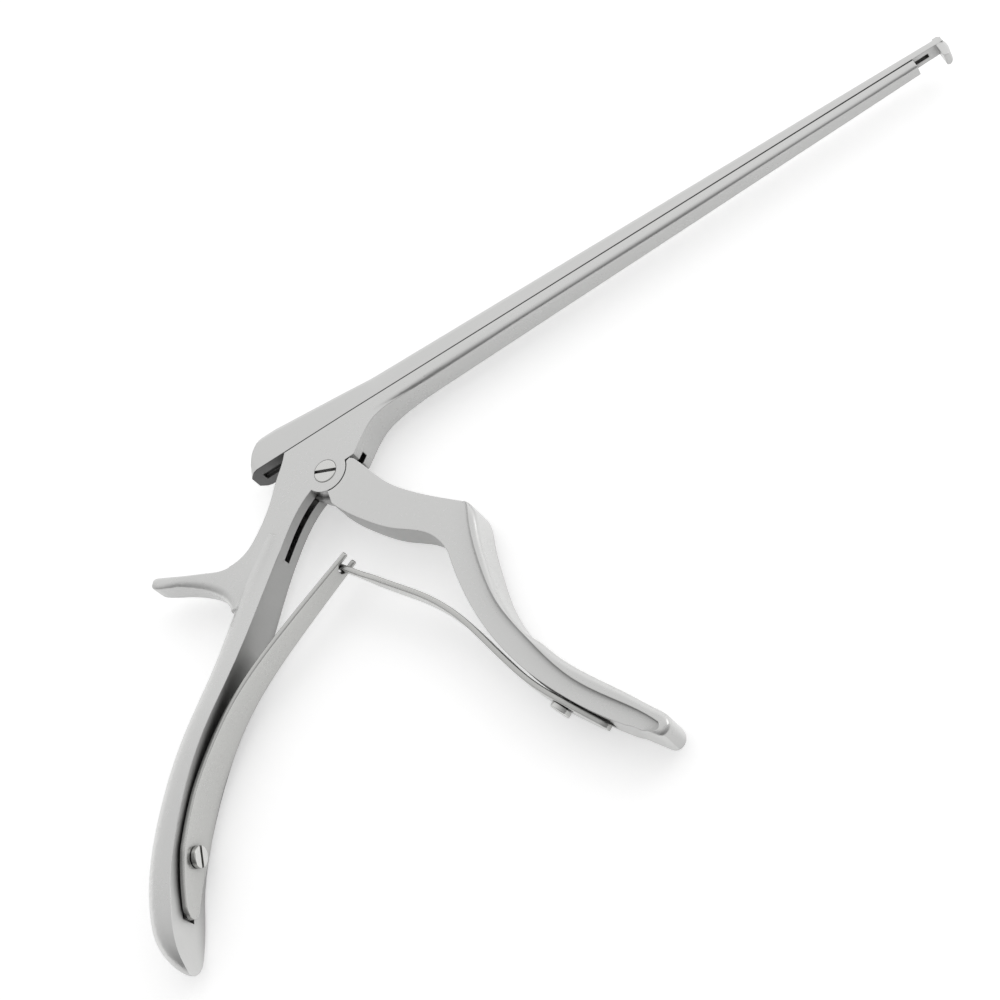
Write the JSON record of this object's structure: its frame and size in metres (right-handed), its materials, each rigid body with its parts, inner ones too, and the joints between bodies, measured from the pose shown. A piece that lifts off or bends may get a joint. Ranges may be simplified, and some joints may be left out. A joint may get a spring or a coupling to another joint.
{
  "type": "bone rongeur",
  "caption": "Hand-held rongeur with a long slim sliding shaft, a down-turned biting hook, a curved rear grip with a spur, a front trigger and interlocked leaf springs.",
  "frame": {"origin": "on the pivot axis, in the plane of the body's left cheek", "axes": "+X along the shaft to the tip, +Y away from the grips, +Z to the instrument's right side, so that it lies on its left side"},
  "size_m": [0.2719, 0.1394, 0.0156],
  "materials": {
    "body_steel": "satin stainless steel",
    "spring_steel": "satin spring steel",
    "screw_steel": "turned stainless steel"
  },
  "bodies": {
    "frame_body": {"frame": "body_steel", "pivot_screw": "screw_steel", "pull_lever_pin": "screw_steel", "rear_spring_foot": "spring_steel", "rear_spring_screw": "screw_steel"},
    "trigger_body": {"trigger": "body_steel", "front_spring_foot": "spring_steel", "front_spring_screw": "screw_steel"},
    "slide_body": {"slide": "body_steel"},
    "pull_lever_body": {"pull_lever": "body_steel"},
    "rear_blade_body": {"rear_spring_blade": "spring_steel"},
    "front_blade_body": {"front_spring_blade": "spring_steel"}
  },
  "joints": [
    {"name": "trigger_pivot", "type": "hinge", "parent": "frame_body", "child": "trigger_body", "pos_m": [0, 0, 0.0042], "axis": [0, 0, -1], "range_deg": [0, 24.15], "stiffness_Nm_per_rad": 1.5, "springref_deg": -11.46},
    {"name": "slide_travel", "type": "slide", "parent": "frame_body", "child": "slide_body", "axis": [-1, 0, 0], "range_m": [0, 0.0063]},
    {"name": "pull_lever_pivot", "type": "hinge", "parent": "frame_body", "child": "pull_lever_body", "pos_m": [-0.0142, -0.0012, 0.0042], "axis": [0, 0, 1], "range_deg": [0, 20.52]},
    {"name": "rear_spring_bend", "type": "hinge", "parent": "frame_body", "child": "rear_blade_body", "pos_m": [-0.045, -0.048, 0.0042], "axis": [0, 0, 1], "range_deg": [0, 8.17]},
    {"name": "front_spring_bend", "type": "hinge", "parent": "trigger_body", "child": "front_blade_body", "pos_m": [0.0223, -0.0712, 0.0042], "axis": [0, 0, -1], "range_deg": [0, 7.54]}
  ],
  "couplings": [
    {"joint": "slide_travel", "follows": "trigger_pivot", "m_per_rad": 0.014945},
    {"joint": "pull_lever_pivot", "follows": "trigger_pivot", "ratio": 0.8495},
    {"joint": "rear_spring_bend", "follows": "trigger_pivot", "ratio": 0.338},
    {"joint": "front_spring_bend", "follows": "trigger_pivot", "ratio": 0.312}
  ]
}
